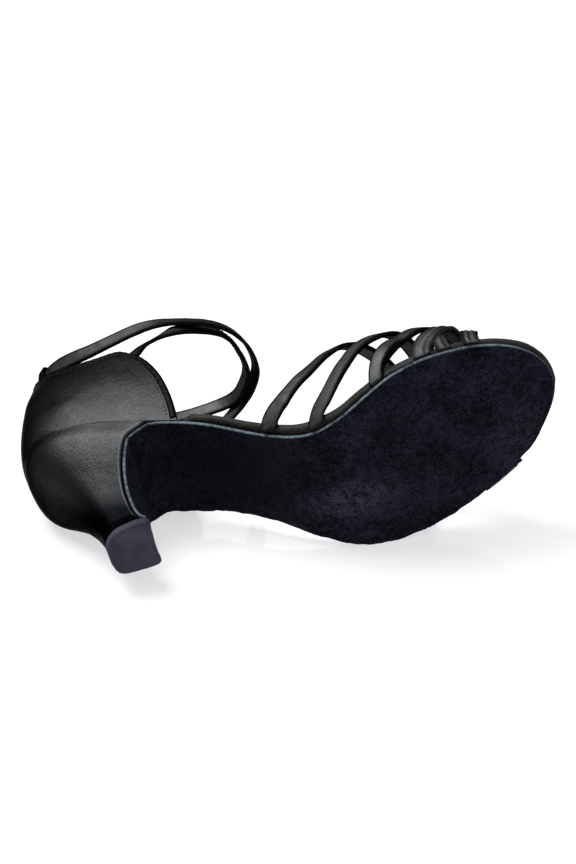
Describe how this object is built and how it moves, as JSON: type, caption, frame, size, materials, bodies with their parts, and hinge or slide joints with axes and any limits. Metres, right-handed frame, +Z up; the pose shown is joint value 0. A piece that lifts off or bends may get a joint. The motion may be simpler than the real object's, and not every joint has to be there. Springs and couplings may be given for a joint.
{
  "type": "dance sandal",
  "caption": "Ballroom dance sandal with a closed satin heel counter, flared heel, suede sole, woven vamp straps and a wound ankle strap, lying on its outer side",
  "frame": {"origin": "centre of the bounding box's underside, on the floor that the shoe lies on", "axes": "+X towards the toe, +Z up from the floor; the sole faces -Y and the foot goes in from +Y"},
  "size_m": [0.2262, 0.1436, 0.0954],
  "materials": {
    "suede": "suede nap",
    "board": "satin covered edge",
    "sock": "matt lining",
    "satin": "satin",
    "tip": "matt",
    "metal": "polished"
  },
  "bodies": {
    "root": {"outsole": "suede", "insole_board": "board", "insole": "sock", "heel": "satin", "heel_tip": "tip", "quarter": "satin", "back_loop": "satin", "vamp_straps": "satin", "ankle_strap": "satin", "buckle": "metal", "buckle_prong": "metal"}
  },
  "joints": []
}
